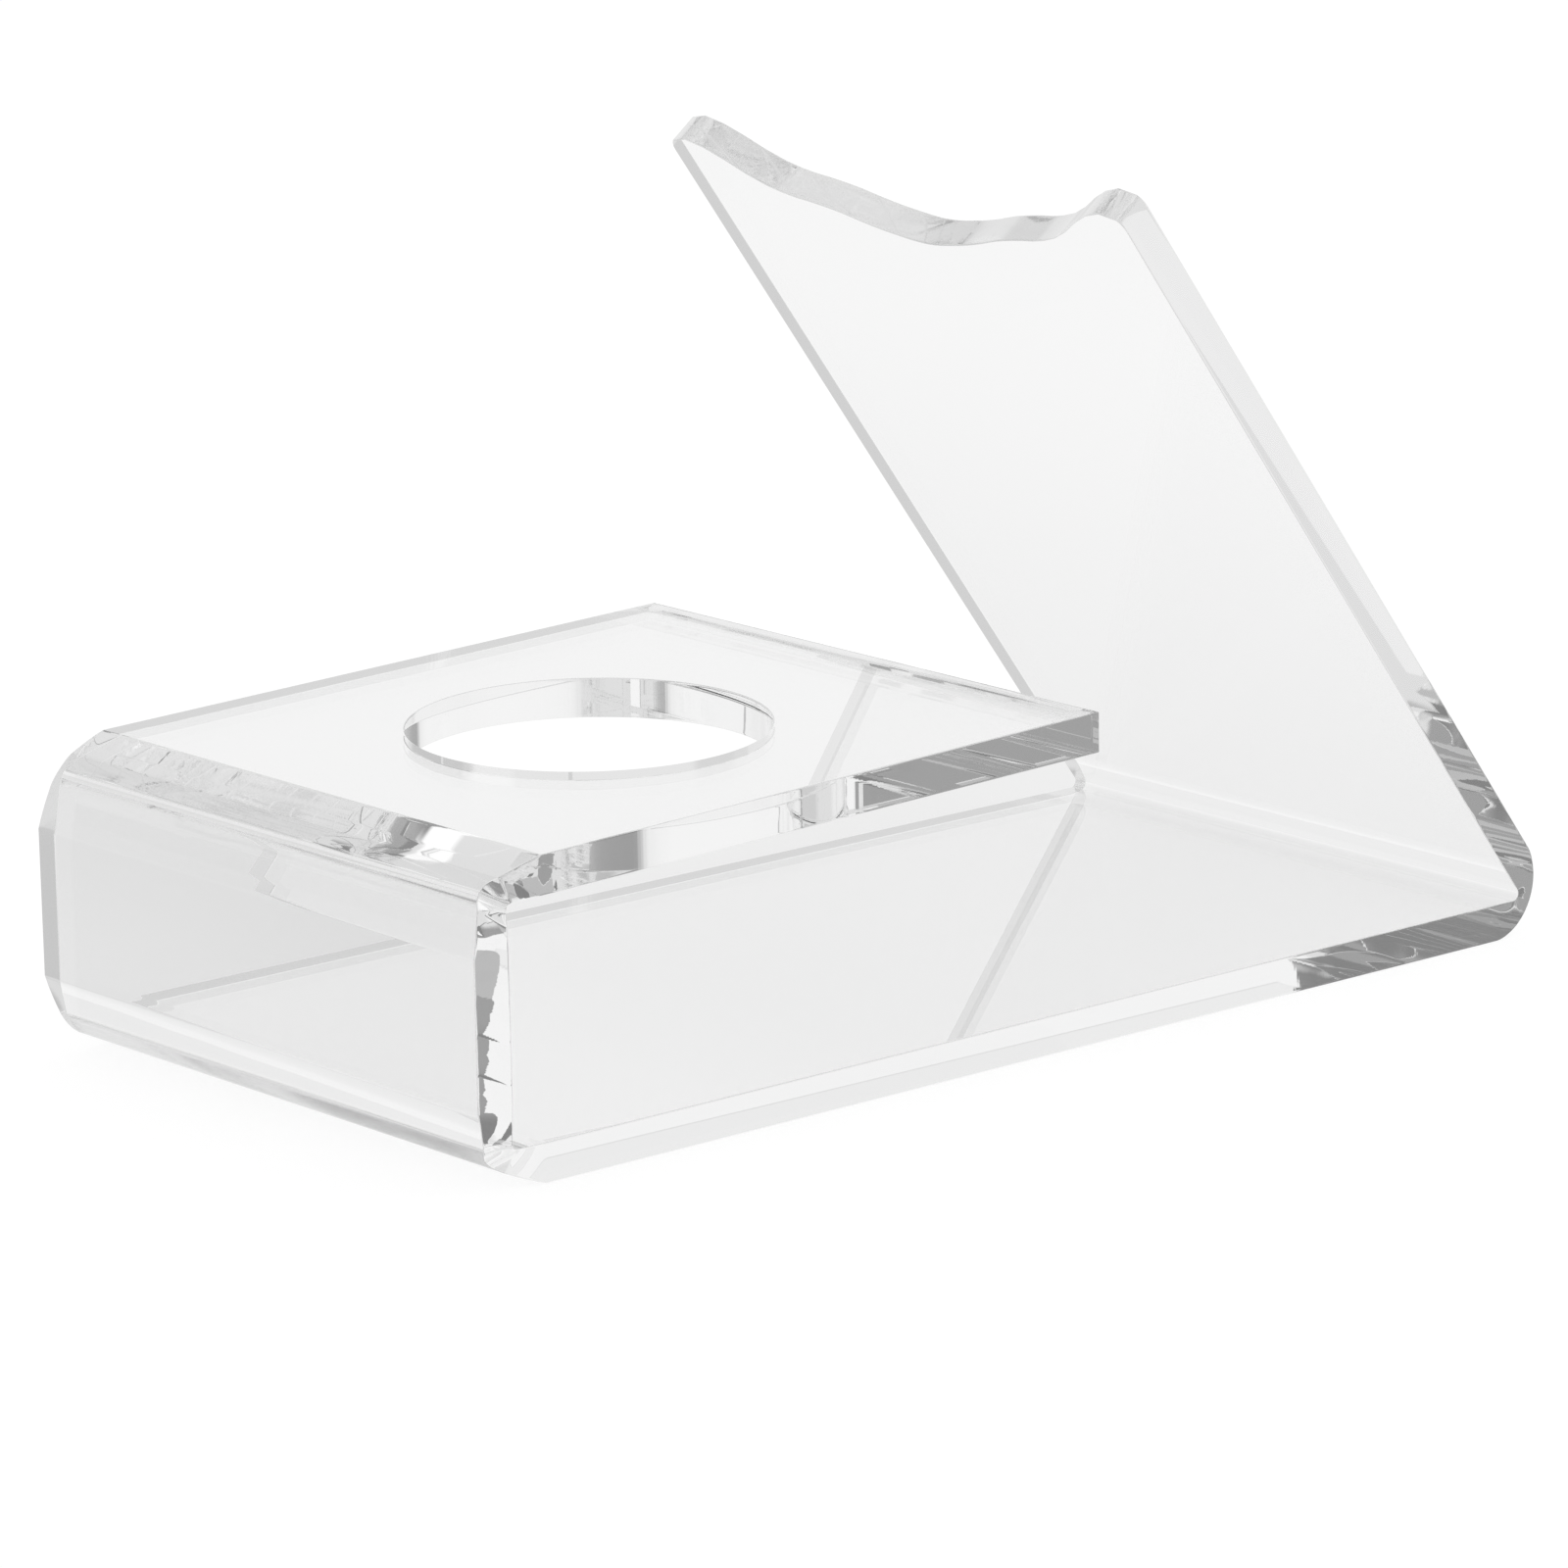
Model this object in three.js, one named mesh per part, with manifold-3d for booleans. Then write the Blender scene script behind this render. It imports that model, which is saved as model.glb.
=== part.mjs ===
// A racket display stand, heat bent from one clear acrylic sheet.
//
// The sheet starts at the free edge of a shelf, runs forward over a bend, down a front wall,
// back along the base, and over an acute bend up into a back rest that leans forward.
// The racket's handle stands in the hole of the shelf, and its neck lies in the saddle that
// is cut into the top edge of the back rest.
//
// Millimetres and degrees. +X runs across the sheet, the front wall faces -Y, and +Z is up.
// The origin is at the middle of the footprint, on the surface that the base rests on.

import * as THREE from "three";
import { mergeVertices } from "three/addons/utils/BufferGeometryUtils.js";
import Module from "manifold-3d";

// The sheet
const sheetWidth = 80;
const sheetThickness = 4.8;

// Lengths of the four panels, each measured to the corner where its flat faces would meet
const shelfDepth = 98.6; // along the shelf's top, from the front corner to the free edge
const wallHeight = 38.3; // along the front wall's outer face
const baseLength = 174.4; // along the base, from the front corner to the inner corner at the rear
const restLength = 122.1; // along the back rest's front face, from that corner to the saddle's tips

// Angles of the bends
const wallLeanDegrees = 1.75; // the front wall leans out, and the shelf rises rearward as much
const restAngleDegrees = 52; // between the base and the back rest

// Radii of the bends, in which the stretched sheet is thinner than elsewhere
const frontInsideRadius = 0.8;
const frontOutsideRadius = 10;
const rearInsideRadius = 0.8;
const rearOutsideRadius = 7;

// The hole for the handle
const holeDiameter = 44.2;
const holeSetback = 52.5; // along the shelf's top, from the front corner to the hole's centre

// The saddle in the top edge of the back rest
const saddleDepth = 11.8; // from the tips down to the lowest point
const tipRadius = 2.5; // round of the back rest's two upper corners

// Half of the saddle's edge, from its middle to a tip: share of the half width between
// the tips' centres, and share of the saddle's depth
const saddleEdgeShares = [
  [0, 0],
  [0.16, 0.07],
  [0.27, 0.155],
  [0.37, 0.255],
  [0.48, 0.33],
  [0.59, 0.385],
  [0.69, 0.49],
  [0.75, 0.6],
  [0.8, 0.715],
  [0.855, 0.835],
  [0.91, 0.93],
  [0.96, 0.985],
  [1, 1],
];

// How far a cutter runs past what it cuts
const cutOverrun = 3;

// Fineness of the round stretches, in counts of straight steps
const bendSteps = 24;
const holeSteps = 128;
const saddleStepsPerPoint = 5;

const wallLean = THREE.MathUtils.degToRad(wallLeanDegrees);
const restAngle = THREE.MathUtils.degToRad(restAngleDegrees);

const wasm = await Module();
wasm.setup();

// Returns the unit vector in the side view, y rearward and z up, at an angle from +Y.
function heading(angle) {
  return new THREE.Vector2(Math.cos(angle), Math.sin(angle));
}

// Returns the point that lies the given length from start along direction.
function along(start, direction, length) {
  return start.clone().addScaledVector(direction, length);
}

// Directions in the side view, in the order in which the sheet runs
const shelfForward = heading(Math.PI + wallLean);
const wallDown = heading((3 * Math.PI) / 2 + wallLean);
const baseRearward = heading(0);
const restUp = heading(Math.PI - restAngle);

// Corners of the sheet's outer face, as if the bends were sharp
const cornerReach = sheetThickness / Math.tan(restAngle / 2); // inner to outer rear corner
const bottomCorner = new THREE.Vector2(0, 0);
const topCorner = along(bottomCorner, wallDown, -wallHeight);
const shelfEnd = along(topCorner, shelfForward, -shelfDepth);
const rearCorner = along(bottomCorner, baseRearward, baseLength + cornerReach);
const restEnd = along(rearCorner, restUp, restLength + cornerReach);

// Returns by how much a path turns left from one direction into the next.
function turnBetween(incoming, outgoing) {
  const turn = outgoing.angle() - incoming.angle();
  return turn < 0 ? turn + 2 * Math.PI : turn;
}

// Rounds a corner of a path that turns left: the round's centre, radius, first and last angle.
function roundAt(corner, incoming, outgoing, radius) {
  const first = incoming.angle() - Math.PI / 2;
  const turn = turnBetween(incoming, outgoing);
  const tangentPoint = along(corner, incoming, -radius * Math.tan(turn / 2));
  const centre = along(tangentPoint, heading(first), -radius);
  return { centre, radius, first, last: first + turn };
}

// Works out a bend from the corner of its outer face: the rounds of its outer and inner face.
function bendAt(outerCorner, incoming, outgoing, outsideRadius, insideRadius) {
  const halfTurn = turnBetween(incoming, outgoing) / 2;
  const inward = heading(incoming.angle() + Math.PI / 2);
  const beforeCorner = along(outerCorner, incoming, -sheetThickness * Math.tan(halfTurn));
  const innerCorner = along(beforeCorner, inward, sheetThickness);
  return {
    outer: roundAt(outerCorner, incoming, outgoing, outsideRadius),
    inner: roundAt(innerCorner, incoming, outgoing, insideRadius),
  };
}

const bends = [
  bendAt(topCorner, shelfForward, wallDown, frontOutsideRadius, frontInsideRadius),
  bendAt(bottomCorner, wallDown, baseRearward, frontOutsideRadius, frontInsideRadius),
  bendAt(rearCorner, baseRearward, restUp, rearOutsideRadius, rearInsideRadius),
];

// Returns the sheet's side view: along the outer face from the shelf's free edge to the top
// of the back rest, across the edge there, and along the inner face back to the shelf.
function sideProfile() {
  const profile = new THREE.Shape();
  const { outer: firstRound } = bends[0];
  const firstTangent = along(firstRound.centre, heading(firstRound.first), firstRound.radius);
  profile.moveTo(shelfEnd.x, shelfEnd.y);
  profile.lineTo(firstTangent.x, firstTangent.y);
  for (const { outer } of bends) {
    profile.absarc(outer.centre.x, outer.centre.y, outer.radius, outer.first, outer.last, false);
  }
  const restInward = heading(restUp.angle() + Math.PI / 2);
  const innerRestEnd = along(restEnd, restInward, sheetThickness);
  profile.lineTo(restEnd.x, restEnd.y);
  profile.lineTo(innerRestEnd.x, innerRestEnd.y);
  for (const { inner } of [...bends].reverse()) {
    profile.absarc(inner.centre.x, inner.centre.y, inner.radius, inner.last, inner.first, true);
  }
  const shelfInward = heading(shelfForward.angle() + Math.PI / 2);
  const innerShelfEnd = along(shelfEnd, shelfInward, sheetThickness);
  profile.lineTo(innerShelfEnd.x, innerShelfEnd.y);
  profile.closePath();
  return profile;
}

// Makes the bent strip, as wide as the sheet and centred on X = 0, before it is cut.
function bentStrip() {
  const strip = new THREE.ExtrudeGeometry(sideProfile(), {
    depth: sheetWidth,
    steps: 1,
    bevelEnabled: false,
    curveSegments: bendSteps / 2,
  });
  const sideViewToSpace = new THREE.Matrix4().makeBasis(
    new THREE.Vector3(0, 1, 0),
    new THREE.Vector3(0, 0, 1),
    new THREE.Vector3(1, 0, 0),
  );
  strip.applyMatrix4(sideViewToSpace);
  strip.translate(-sheetWidth / 2, 0, 0);
  return strip;
}

// Makes the round cutter for the handle's hole, square to the shelf.
function holeCutter() {
  const onShelf = along(topCorner, shelfForward, -holeSetback);
  const shelfNormal = heading(shelfForward.angle() - Math.PI / 2);
  const middle = along(onShelf, shelfNormal, -sheetThickness / 2);
  const cutter = new THREE.CylinderGeometry(
    holeDiameter / 2,
    holeDiameter / 2,
    sheetThickness + 2 * cutOverrun,
    holeSteps,
  );
  cutter.applyQuaternion(
    new THREE.Quaternion().setFromUnitVectors(
      new THREE.Vector3(0, 1, 0),
      new THREE.Vector3(0, shelfNormal.x, shelfNormal.y),
    ),
  );
  cutter.translate(0, middle.x, middle.y);
  return cutter;
}

// Returns what is cut off the top of the back rest, drawn on its front face: x across, and y
// up the back rest from the inner corner of the rear bend.
function saddleOutline() {
  const tipX = sheetWidth / 2 - tipRadius;
  const tipY = restLength - tipRadius;
  const sideX = sheetWidth / 2 + cutOverrun;
  const topY = restLength + cutOverrun;
  const lowestY = restLength - saddleDepth;
  const rightHalf = saddleEdgeShares.map(
    ([widthShare, depthShare]) =>
      new THREE.Vector2(widthShare * tipX, lowestY + depthShare * saddleDepth),
  );
  const leftHalf = rightHalf
    .slice(1)
    .reverse()
    .map((point) => new THREE.Vector2(-point.x, point.y));
  const outline = new THREE.Shape();
  outline.moveTo(-sideX, topY);
  outline.lineTo(-sideX, tipY);
  outline.lineTo(-sheetWidth / 2, tipY);
  outline.absarc(-tipX, tipY, tipRadius, Math.PI, Math.PI / 2, true);
  outline.splineThru([...leftHalf.slice(1), ...rightHalf]);
  outline.absarc(tipX, tipY, tipRadius, Math.PI / 2, 0, true);
  outline.lineTo(sideX, tipY);
  outline.lineTo(sideX, topY);
  outline.closePath();
  return outline;
}

// Makes the cutter for the saddle and the round tips, square to the back rest.
function saddleCutter() {
  const cutter = new THREE.ExtrudeGeometry(saddleOutline(), {
    depth: sheetThickness + 2 * cutOverrun,
    steps: 1,
    bevelEnabled: false,
    curveSegments: saddleStepsPerPoint,
  });
  const restInward = heading(restUp.angle() + Math.PI / 2);
  const innerCorner = new THREE.Vector2(baseLength, sheetThickness);
  const start = along(innerCorner, restInward, -(sheetThickness + cutOverrun));
  const restToSpace = new THREE.Matrix4().makeBasis(
    new THREE.Vector3(1, 0, 0),
    new THREE.Vector3(0, restUp.x, restUp.y),
    new THREE.Vector3(0, restInward.x, restInward.y),
  );
  cutter.applyMatrix4(restToSpace);
  cutter.translate(0, start.x, start.y);
  return cutter;
}

// Turns a closed geometry into a solid that can be cut.
function solidOf(geometry) {
  const bare = geometry.index ? geometry.toNonIndexed() : geometry.clone();
  bare.deleteAttribute("normal");
  bare.deleteAttribute("uv");
  const merged = mergeVertices(bare);
  return new wasm.Manifold(
    new wasm.Mesh({
      numProp: 3,
      vertProperties: merged.attributes.position.array,
      triVerts: new Uint32Array(merged.index.array),
    }),
  );
}

// Turns a cut solid back into a geometry.
function geometryOf(solid) {
  const { vertProperties, triVerts } = solid.getMesh();
  const geometry = new THREE.BufferGeometry();
  geometry.setAttribute("position", new THREE.BufferAttribute(vertProperties, 3));
  geometry.setIndex(new THREE.BufferAttribute(triVerts, 1));
  geometry.computeVertexNormals();
  return geometry;
}

// Makes the bent sheet: the strip, with the handle's hole and the saddle cut out of it.
function bentSheet() {
  const solid = solidOf(bentStrip())
    .subtract(solidOf(holeCutter()))
    .subtract(solidOf(saddleCutter()));
  const clearAcrylic = new THREE.MeshStandardMaterial({
    color: 0xf3f6f7,
    roughness: 0.05,
    metalness: 0,
    transparent: true,
    opacity: 0.35,
  });
  const mesh = new THREE.Mesh(geometryOf(solid), clearAcrylic);
  mesh.name = "bent_acrylic_sheet";
  return mesh;
}

const stand = new THREE.Group();
stand.name = "racket_display_stand";
stand.add(bentSheet());

// The sheet was drawn from its front corner, so it is moved to the middle of its footprint.
const footprint = new THREE.Box3().setFromObject(stand);
stand.position.y = -(footprint.min.y + footprint.max.y) / 2;

export default stand;
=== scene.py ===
"""Racket display stand, heat bent from one clear acrylic sheet.

The sheet is laid out flat first, with its hole and its saddle cut and every edge polished
round, and is then bent along three lines, as the real one is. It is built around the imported
model, in metres: +X runs across the sheet, the front wall faces -Y, and +Z is up.
"""

import logging
import math
from dataclasses import dataclass, field
from enum import Enum

import bpy
from mathutils import Matrix, Vector, noise


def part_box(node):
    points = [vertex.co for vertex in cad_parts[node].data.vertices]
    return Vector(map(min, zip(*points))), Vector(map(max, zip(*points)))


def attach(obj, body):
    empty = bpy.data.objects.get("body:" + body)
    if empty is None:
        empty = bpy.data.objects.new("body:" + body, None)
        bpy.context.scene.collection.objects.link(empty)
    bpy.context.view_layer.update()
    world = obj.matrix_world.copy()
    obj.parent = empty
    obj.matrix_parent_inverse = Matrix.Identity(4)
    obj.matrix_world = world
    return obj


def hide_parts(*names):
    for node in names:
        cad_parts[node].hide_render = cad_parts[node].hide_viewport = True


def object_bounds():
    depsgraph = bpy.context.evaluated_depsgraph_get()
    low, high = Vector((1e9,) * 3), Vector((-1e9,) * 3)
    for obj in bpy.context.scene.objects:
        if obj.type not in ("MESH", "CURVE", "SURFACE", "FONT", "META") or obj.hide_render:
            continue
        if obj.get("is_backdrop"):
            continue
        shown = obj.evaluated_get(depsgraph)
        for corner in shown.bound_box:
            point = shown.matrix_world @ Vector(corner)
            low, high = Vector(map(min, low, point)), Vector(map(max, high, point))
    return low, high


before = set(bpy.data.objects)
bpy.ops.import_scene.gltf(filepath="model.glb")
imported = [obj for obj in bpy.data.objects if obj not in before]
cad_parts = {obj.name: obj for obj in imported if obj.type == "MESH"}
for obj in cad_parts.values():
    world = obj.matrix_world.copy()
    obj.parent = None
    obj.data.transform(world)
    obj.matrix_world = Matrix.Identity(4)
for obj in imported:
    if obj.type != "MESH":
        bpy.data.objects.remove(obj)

CAD_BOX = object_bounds()
MM = 0.001
SHEET_NODE = "bent_acrylic_sheet"
ALONG_EDGE = "along_edge"

Tree = bpy.types.NodeTree
Socket = bpy.types.NodeSocket
Level = Socket | float

log = logging.getLogger("racket_stand")


class Finish(Enum):
    """The two finishes of the sheet, in the order of its material slots."""

    FACE = 0
    POLISHED_EDGE = 1


def heading(angle: float) -> Vector:
    """Gives the unit vector (y, z) at an angle from +Y in the side view.

    Args:
        angle: The angle in radians.

    Returns:
        The direction.
    """
    return Vector((math.cos(angle), math.sin(angle)))


@dataclass(frozen=True)
class SheetSizes:
    """Sizes of the bent sheet, as the CAD model has them.

    Each panel's length is measured to the corner where its flat faces would meet.
    """

    width: float = 80 * MM
    thickness: float = 4.8 * MM
    shelf_depth: float = 98.6 * MM
    wall_height: float = 38.3 * MM
    base_length: float = 174.4 * MM
    rest_length: float = 122.1 * MM
    wall_lean: float = math.radians(1.75)
    rest_angle: float = math.radians(52)
    front_outside_radius: float = 10 * MM
    rear_outside_radius: float = 7 * MM
    inside_radius: float = 0.8 * MM
    hole_radius: float = 22.1 * MM
    hole_setback: float = 52.5 * MM
    saddle_depth: float = 11.8 * MM
    tip_radius: float = 2.5 * MM
    saddle_edge_shares: tuple[tuple[float, float], ...] = (
        (0, 0), (0.16, 0.07), (0.27, 0.155), (0.37, 0.255), (0.48, 0.33), (0.59, 0.385),
        (0.69, 0.49), (0.75, 0.6), (0.8, 0.715), (0.855, 0.835), (0.91, 0.93), (0.96, 0.985), (1, 1),
    )


@dataclass(frozen=True)
class BendMarks:
    """What the heat leaves of a bend's plain round, in metres and radians.

    The outer face turns a little at once where the bend starts, then slowly over a flank, and
    most on the crown, which lies inside the plain round. The bend's near and far ends draw in.
    """

    kink: float
    flank_turn: float
    crown_radius: float
    crown_drop: float
    near_draw: float
    far_draw: float

    def flank_radius(self, turn: float, outside_radius: float) -> float:
        """Works out the flank's radius, with which the crown lies where it should.

        Args:
            turn: The bend's whole turn.
            outside_radius: The plain round's radius.

        Returns:
            The radius.
        """
        flank_end = self.kink + self.flank_turn
        crown_rise = self.crown_radius * (math.cos(flank_end) - math.cos(turn / 2))
        rise = outside_radius * (1 - math.cos(turn / 2)) + self.crown_drop - crown_rise
        return rise / (math.cos(self.kink) - math.cos(flank_end))

    def reach(self, turn: float, outside_radius: float) -> float:
        """Works out the length from the bend's start to the corner of the flat outer faces.

        Args:
            turn: The bend's whole turn.
            outside_radius: The plain round's radius.

        Returns:
            The length.
        """
        flank_end = self.kink + self.flank_turn
        flank = self.flank_radius(turn, outside_radius)
        flank_run = flank * (math.sin(flank_end) - math.sin(self.kink))
        crown_run = self.crown_radius * (math.sin(turn / 2) - math.sin(flank_end))
        plain_run = outside_radius * (math.tan(turn / 2) - math.sin(turn / 2))
        return flank_run + crown_run + plain_run + self.crown_drop * math.tan(turn / 2)


@dataclass(frozen=True)
class Stretch:
    """A straight stretch of the sheet, seen from the side.

    The start point lies on the outer face, and the sheet's inside is on the left.
    """

    first_u: float
    length: float
    start: Vector
    angle: float

    def place(self, u: float, depth: float) -> Vector:
        """Finds a point of the stretch.

        Args:
            u: The distance along the flat sheet from the shelf's free edge.
            depth: The distance from the outer face into the sheet.

        Returns:
            The point (y, z) in the side view.
        """
        left = heading(self.angle + math.pi / 2)
        return self.start + heading(self.angle) * (u - self.first_u) + left * depth

    def bend_share(self, u: float) -> float:
        """Gives 0 on a straight stretch and at a bend's ends, and 1 in a bend's middle."""
        return 0.0

    def draw(self, u: float, x: float) -> float:
        """Gives how far the outer face draws in at the side that x is on."""
        return 0.0


@dataclass(frozen=True)
class Bend(Stretch):
    """A bend: flank, crown and flank outside, and flat, round and flat inside."""

    thickness: float
    turn: float
    outside_radius: float
    inside_radius: float
    marks: BendMarks
    side_share: float = 0.25
    draw_power: float = 1.5

    def share(self, u: float) -> float:
        """Gives how far along the bend a distance along the sheet lies, from 0 to 1."""
        return (u - self.first_u) / self.length

    def place(self, u: float, depth: float) -> Vector:
        """Finds a point of the bend, as a straight stretch does."""
        outer, inner = self.outer_point(self.share(u)), self.inner_point(self.share(u))
        return outer.lerp(inner, depth / self.thickness)

    def bend_share(self, u: float) -> float:
        """Gives 0 at the bend's ends and 1 in its middle, with a soft start."""
        return math.sin(math.pi * self.share(u)) ** 2

    def draw(self, u: float, x: float) -> float:
        """Gives how far the outer face draws in at the side that x is on."""
        most = self.marks.near_draw if x > 0 else self.marks.far_draw
        return most * math.sin(math.pi * self.share(u)) ** self.draw_power

    def outer_point(self, share: float) -> Vector:
        """Finds a point of the outer face.

        Args:
            share: How far along the bend the point lies, from 0 to 1.

        Returns:
            The point (y, z) in the side view.
        """
        marks = self.marks
        crown_turn = self.turn - 2 * (marks.kink + marks.flank_turn)
        flank = marks.flank_radius(self.turn, self.outside_radius)
        crown_share = 1 - 2 * self.side_share
        parts = ((flank, marks.flank_turn, self.side_share),
                 (marks.crown_radius, crown_turn, crown_share),
                 (flank, marks.flank_turn, self.side_share))
        point, angle, before = self.start, self.angle + marks.kink, 0.0
        for radius, turn, part_share in parts:
            done = min(max((share - before) / part_share, 0.0), 1.0)
            centre = point + heading(angle + math.pi / 2) * radius
            point = centre + heading(angle - math.pi / 2 + turn * done) * radius
            angle += turn
            before += part_share
        return point

    def inner_point(self, share: float) -> Vector:
        """Finds a point of the inner face.

        Args:
            share: How far along the bend the point lies, from 0 to 1.

        Returns:
            The point (y, z) in the side view.
        """
        left = heading(self.angle + math.pi / 2)
        to_corner = self.marks.reach(self.turn, self.outside_radius)
        flat = to_corner - (self.thickness + self.inside_radius) * math.tan(self.turn / 2)
        first = self.start + left * self.thickness
        centre = first + heading(self.angle) * flat + left * self.inside_radius
        done = min(max((share - self.side_share) / (1 - 2 * self.side_share), 0.0), 1.0)
        angle = self.angle + self.turn * done
        point = centre + heading(angle - math.pi / 2) * self.inside_radius
        before = min(share / self.side_share, 1.0) - 1
        after = 1 - min((1 - share) / self.side_share, 1.0)
        return point + heading(angle) * flat * (before + after)


@dataclass(frozen=True)
class HeatMarks:
    """What heating and polishing leave on the sheet, in metres.

    The bends draw in at their ends and ripple. The sheet is a little thicker at the front
    wall and at the shelf's free edge, and thinner at the saddle. The polished edges are round
    along their borders and wave slightly. The seeds keep the waves unlike each other.
    """

    edge_round: float = 0.12 * MM
    front: BendMarks = BendMarks(
        math.radians(16.3), math.radians(6.4), 6 * MM, 0.2 * MM, 2.3 * MM, 0.7 * MM)
    rear: BendMarks = BendMarks(
        math.radians(1), math.radians(20), 6.9 * MM, 0.0, 0.4 * MM, 0.4 * MM)
    end_reach: float = 5 * MM
    wall_excess: float = 0.33 * MM
    shelf_excess: float = 0.25 * MM
    rest_loss: float = 0.4 * MM
    ripple: float = 0.07 * MM
    ripple_length: float = 8 * MM
    inner_ripple_seed: float = 7.0
    edge_wave: float = 0.015 * MM
    edge_wave_length: float = 14 * MM
    edge_wave_seed: float = 3.0


class BentPath:
    """The sheet's course in the side view, from the shelf's free edge to the saddle.

    The wall's bends are the stretches right before and right after the front wall.
    """

    wall_bends: tuple[int, int] = (1, 3)

    def __init__(self, sizes: SheetSizes, marks: HeatMarks, front_y: float) -> None:
        """Lays out the four panels and the three bends.

        Args:
            sizes: The sheet's sizes.
            marks: What heating and polishing leave on it.
            front_y: The row frame's y of the sheet's foremost point.
        """
        lean = sizes.wall_lean
        angles = [math.pi + lean, 1.5 * math.pi + lean, 2 * math.pi, 3 * math.pi - sizes.rest_angle]
        thickness = sizes.thickness
        reach = thickness / math.tan(sizes.rest_angle / 2)
        sides = [sizes.shelf_depth, sizes.wall_height, sizes.base_length + reach,
                 sizes.rest_length + reach]
        front = (sizes.front_outside_radius, marks.front)
        rear = (sizes.rear_outside_radius, marks.rear)
        top = -heading(angles[1]) * sizes.wall_height
        point = top - heading(angles[0]) * sizes.shelf_depth
        self.stretches: list[Stretch] = []
        u, cut = 0.0, 0.0
        for angle, after, side, (outside_radius, bend_marks) in zip(
                angles, angles[1:], sides, (front, front, rear)):
            turn = after - angle
            next_cut = bend_marks.reach(turn, outside_radius)
            straight = Stretch(u, side - cut - next_cut, point, angle)
            u += straight.length
            length = (outside_radius - thickness / 2) * turn
            bend = Bend(u, length, straight.place(u, 0.0), angle, thickness, turn,
                        outside_radius, sizes.inside_radius, bend_marks)
            self.stretches += [straight, bend]
            u += length
            point, cut = bend.place(u, 0.0), next_cut
        self.stretches.append(Stretch(u, sides[-1] - cut, point, angles[-1]))
        self.length = u + sides[-1] - cut
        radius = sizes.front_outside_radius
        foremost = top + heading(angles[1]) * radius * math.tan((angles[1] - angles[0]) / 2)
        centre = foremost + heading(angles[1] + math.pi / 2) * radius
        self.shift = front_y - (centre.x - radius)

    def stretch_at(self, u: float) -> Stretch:
        """Finds the stretch that holds a distance along the flat sheet.

        Args:
            u: The distance from the shelf's free edge.

        Returns:
            The stretch.
        """
        for stretch in self.stretches:
            if u <= stretch.first_u + stretch.length:
                return stretch
        return self.stretches[-1]

    def wall_share(self, u: float) -> float:
        """Tells how far a distance along the sheet lies on the front wall.

        Args:
            u: The distance from the shelf's free edge.

        Returns:
            1 on the wall, 0 on the shelf and the base, and a fade in the bends.
        """
        before, after = (
            min(max(self.stretches[index].share(u), 0.0), 1.0) for index in self.wall_bends)
        return before - after

    def place(self, x: float, u: float, depth: float) -> Vector:
        """Finds the place in space of a point of the flat sheet.

        Args:
            x: The distance across the sheet from its middle.
            u: The distance along the flat sheet from the shelf's free edge.
            depth: The distance from the outer face into the sheet.

        Returns:
            The point in the row frame.
        """
        side = self.stretch_at(u).place(u, depth)
        return Vector((x, side.x + self.shift, side.y))


@dataclass
class Blank:
    """The flat sheet's middle plane as a mesh of quads, in x across and u along."""

    points: list[tuple[float, float]] = field(default_factory=list)
    quads: list[tuple[int, int, int, int]] = field(default_factory=list)
    merge: float = 1e-6
    _index: dict[tuple[int, int], int] = field(default_factory=dict)

    def point(self, x: float, u: float) -> int:
        """Adds a point, or finds the one that is there already.

        Args:
            x: The distance across the sheet from its middle.
            u: The distance along it from the shelf's free edge.

        Returns:
            The point's number.
        """
        key = (round(x / self.merge), round(u / self.merge))
        if key not in self._index:
            self._index[key] = len(self.points)
            self.points.append((x, u))
        return self._index[key]

    def grid(self, rows: list[list[tuple[float, float]]]) -> None:
        """Adds the quads between rows of points.

        Args:
            rows: Rows of equal length. A quad runs from a row to the next, and from a point
                to the next, counter-clockwise with x to the right and u up.
        """
        numbers = [[self.point(*p) for p in row] for row in rows]
        for low, high in zip(numbers, numbers[1:]):
            for i in range(len(low) - 1):
                self.quads.append((low[i], low[i + 1], high[i + 1], high[i]))

    def borders(self) -> list[list[int]]:
        """Follows the open edges of the mesh.

        Returns:
            The border loops, each with the material on its left.
        """
        edges = {(q[i], q[(i + 1) % 4]) for q in self.quads for i in range(4)}
        following = {a: b for a, b in edges if (b, a) not in edges}
        loops = []
        while following:
            start, after = following.popitem()
            loop = [start]
            while after != start:
                loop.append(after)
                after = following.pop(after)
            loops.append(loop)
        return sorted(loops, key=len, reverse=True)

    def outward(self, loop: list[int]) -> list[Vector]:
        """Works out how each point of a border moves when the border moves out by 1.

        Args:
            loop: A border loop with the material on its left.

        Returns:
            One vector for each point of the loop.
        """
        spots = [Vector(self.points[i]) for i in loop]
        normals = []
        for a, b in zip(spots, spots[1:] + spots[:1]):
            run = (b - a).normalized()
            normals.append(Vector((run.y, -run.x)))
        before = normals[-1:] + normals[:-1]
        return [(m + n) / (1 + m.dot(n)) for m, n in zip(before, normals)]


@dataclass(frozen=True)
class MeshFineness:
    """How finely the sheet's mesh is divided, in counts and spacings."""

    hole_side_steps: int = 32
    side_columns: int = 5
    hole_rings: int = 3
    bend_steps: int = 48
    flat_spacing: float = 4 * MM
    hole_margin: float = 3.9 * MM
    round_steps: int = 5
    tip_shares: tuple[float, ...] = (0.66, 0.33, 0.0)
    hold: float = 0.15 * MM
    bend_hold: float = 0.2 * MM


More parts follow.
